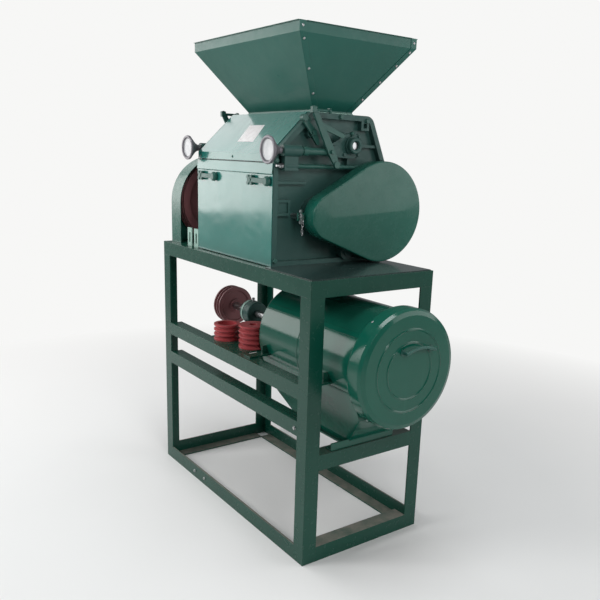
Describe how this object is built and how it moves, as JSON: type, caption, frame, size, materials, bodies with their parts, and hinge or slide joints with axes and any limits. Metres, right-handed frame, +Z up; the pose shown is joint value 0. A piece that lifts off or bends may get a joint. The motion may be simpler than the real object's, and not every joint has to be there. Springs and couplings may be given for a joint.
{
  "type": "roller mill",
  "caption": "Roller flour mill on an angle-iron stand, with a hopper, geared grinding rolls, throw-off levers and a round sieve below the table.",
  "frame": {"origin": "on the floor under the middle of the whole machine's outline seen from above", "axes": "+Z up, -Y towards the latched front panel, +X towards the gear guard and the sieve's cap"},
  "size_m": [1.151, 0.58, 1.594],
  "materials": {
    "frame_green": "gloss enamel",
    "casting_green": "satin enamel over cast iron",
    "panel_green": "gloss enamel",
    "hopper_green": "satin enamel",
    "guard_green": "satin enamel",
    "drum_green": "gloss enamel",
    "table_dark": "gloss enamel",
    "lever_green": "satin enamel",
    "bracket_pale": "satin enamel",
    "pulley_maroon": "satin enamel",
    "pulley_red": "satin enamel",
    "wheel_chrome": "polished face",
    "roll_iron": "ground",
    "gear_iron": "machined and oiled",
    "shaft_steel": "turned",
    "screen_steel": "bare",
    "belt_rubber": "matt"
  },
  "bodies": {
    "stand": {"adjuster_brackets": "casting_green", "base_rails": "frame_green", "bearing_housings": "casting_green", "belt_guard": "guard_green", "cross_bars": "casting_green", "discharge_chute": "panel_green", "drum_ears": "frame_green", "drum_shell": "drum_green", "end_rail_right": "frame_green", "feed_belt": "belt_rubber", "flour_trough": "drum_green", "front_cover": "panel_green", "front_rails": "frame_green", "gear_guard": "guard_green", "guard_stay": "shaft_steel", "hopper_panels": "hopper_green", "leg_back_left": "frame_green", "leg_back_right": "frame_green", "leg_front_left": "frame_green", "leg_front_right": "frame_green", "mill_bearers": "frame_green", "rear_panel": "panel_green", "roll_scrapers": "casting_green", "shelf_bars": "frame_green", "shelf_rail_back": "frame_green", "side_frame_left": "casting_green", "side_frame_right": "casting_green", "sieve_bearing": "casting_green", "sieve_screen": "screen_steel", "slotted_brackets": "bracket_pale", "spare_pulleys": "pulley_red", "stop_rods": "lever_green", "table_plate": "table_dark", "top_rail_back": "frame_green", "top_rail_front": "frame_green", "top_rail_left": "frame_green", "top_rail_right": "frame_green"},
    "fast_roll": {"fast_roll": "roll_iron", "fast_gear": "gear_iron", "main_pulley": "pulley_maroon", "feed_drive_pulley": "pulley_maroon"},
    "slow_roll": {"slow_roll": "roll_iron", "slow_gear": "gear_iron"},
    "roll_arms": {"roll_arms": "casting_green"},
    "feed_roll": {"feed_roll": "shaft_steel", "feed_pulley": "pulley_maroon"},
    "feed_gate": {"feed_gate": "lever_green"},
    "front_panel": {"front_panel": "panel_green"},
    "latch_left": {"latch_left": "lever_green"},
    "latch_right": {"latch_right": "lever_green"},
    "handwheel_left": {"handwheel_left": "wheel_chrome"},
    "handwheel_right": {"handwheel_right": "wheel_chrome"},
    "push_rod_left": {"push_rod_left": "lever_green"},
    "push_rod_right": {"push_rod_right": "lever_green"},
    "lever_left": {"lever_left": "lever_green"},
    "lever_right": {"lever_right": "lever_green"},
    "sieve_rotor": {"sieve_rotor": "shaft_steel", "sieve_pulley": "pulley_maroon"},
    "drum_cap": {"drum_cap": "drum_green", "cap_handle": "lever_green"}
  },
  "joints": [
    {"name": "fast_roll_spin", "type": "hinge", "parent": "stand", "child": "fast_roll", "pos_m": [-0.094, -0.0795, 1.046], "axis": [1, 0, 0], "continuous": true},
    {"name": "roll_arms_swing", "type": "hinge", "parent": "stand", "child": "roll_arms", "pos_m": [-0.094, 0.03, 0.925], "axis": [1, 0, 0], "range_deg": [-1.5, 0]},
    {"name": "slow_roll_spin", "type": "hinge", "parent": "roll_arms", "child": "slow_roll", "pos_m": [-0.094, 0.1305, 1.058], "axis": [1, 0, 0], "continuous": true},
    {"name": "feed_roll_spin", "type": "hinge", "parent": "stand", "child": "feed_roll", "pos_m": [-0.094, 0.035, 1.264], "axis": [1, 0, 0], "continuous": true},
    {"name": "feed_gate_tilt", "type": "hinge", "parent": "stand", "child": "feed_gate", "pos_m": [-0.094, -0.115, 1.297], "axis": [1, 0, 0], "range_deg": [0, 20]},
    {"name": "front_panel_swing", "type": "hinge", "parent": "stand", "child": "front_panel", "pos_m": [-0.095, -0.2535, 0.8925], "axis": [1, 0, 0], "range_deg": [0, 80]},
    {"name": "latch_left_turn", "type": "hinge", "parent": "front_panel", "child": "latch_left", "pos_m": [-0.302, -0.2535, 1.15], "axis": [0, 1, 0], "range_deg": [-90, 0]},
    {"name": "latch_right_turn", "type": "hinge", "parent": "front_panel", "child": "latch_right", "pos_m": [0.033, -0.2535, 1.15], "axis": [0, 1, 0], "range_deg": [-90, 0]},
    {"name": "handwheel_left_turn", "type": "hinge", "parent": "stand", "child": "handwheel_left", "pos_m": [-0.357, -0.245, 1.242], "axis": [0, 1, 0], "range_deg": [-360, 360]},
    {"name": "push_rod_left_slide", "type": "slide", "parent": "stand", "child": "push_rod_left", "axis": [0, 1, 0], "range_m": [-0.002, 0.002]},
    {"name": "lever_left_swing", "type": "hinge", "parent": "push_rod_left", "child": "lever_left", "pos_m": [-0.357, -0.064, 1.242], "axis": [1, 0, 0], "range_deg": [0, 25]},
    {"name": "handwheel_right_turn", "type": "hinge", "parent": "stand", "child": "handwheel_right", "pos_m": [0.169, -0.245, 1.242], "axis": [0, 1, 0], "range_deg": [-360, 360]},
    {"name": "push_rod_right_slide", "type": "slide", "parent": "stand", "child": "push_rod_right", "axis": [0, 1, 0], "range_m": [-0.002, 0.002]},
    {"name": "lever_right_swing", "type": "hinge", "parent": "push_rod_right", "child": "lever_right", "pos_m": [0.169, -0.064, 1.242], "axis": [1, 0, 0], "range_deg": [0, 25]},
    {"name": "sieve_spin", "type": "hinge", "parent": "stand", "child": "sieve_rotor", "pos_m": [-0.085, -0.0265, 0.631], "axis": [1, 0, 0], "continuous": true},
    {"name": "drum_cap_slide", "type": "slide", "parent": "stand", "child": "drum_cap", "axis": [1, 0, 0], "range_m": [0, 0.12]}
  ],
  "couplings": [
    {"joint": "slow_roll_spin", "follows": "fast_roll_spin", "ratio": -0.4},
    {"joint": "feed_roll_spin", "follows": "fast_roll_spin", "ratio": 0.5},
    {"joint": "roll_arms_swing", "follows": "lever_right_swing", "ratio": -0.06},
    {"joint": "lever_left_swing", "follows": "lever_right_swing", "ratio": 1},
    {"joint": "push_rod_left_slide", "follows": "handwheel_left_turn", "m_per_rad": 0.000318},
    {"joint": "push_rod_right_slide", "follows": "handwheel_right_turn", "m_per_rad": 0.000318}
  ]
}
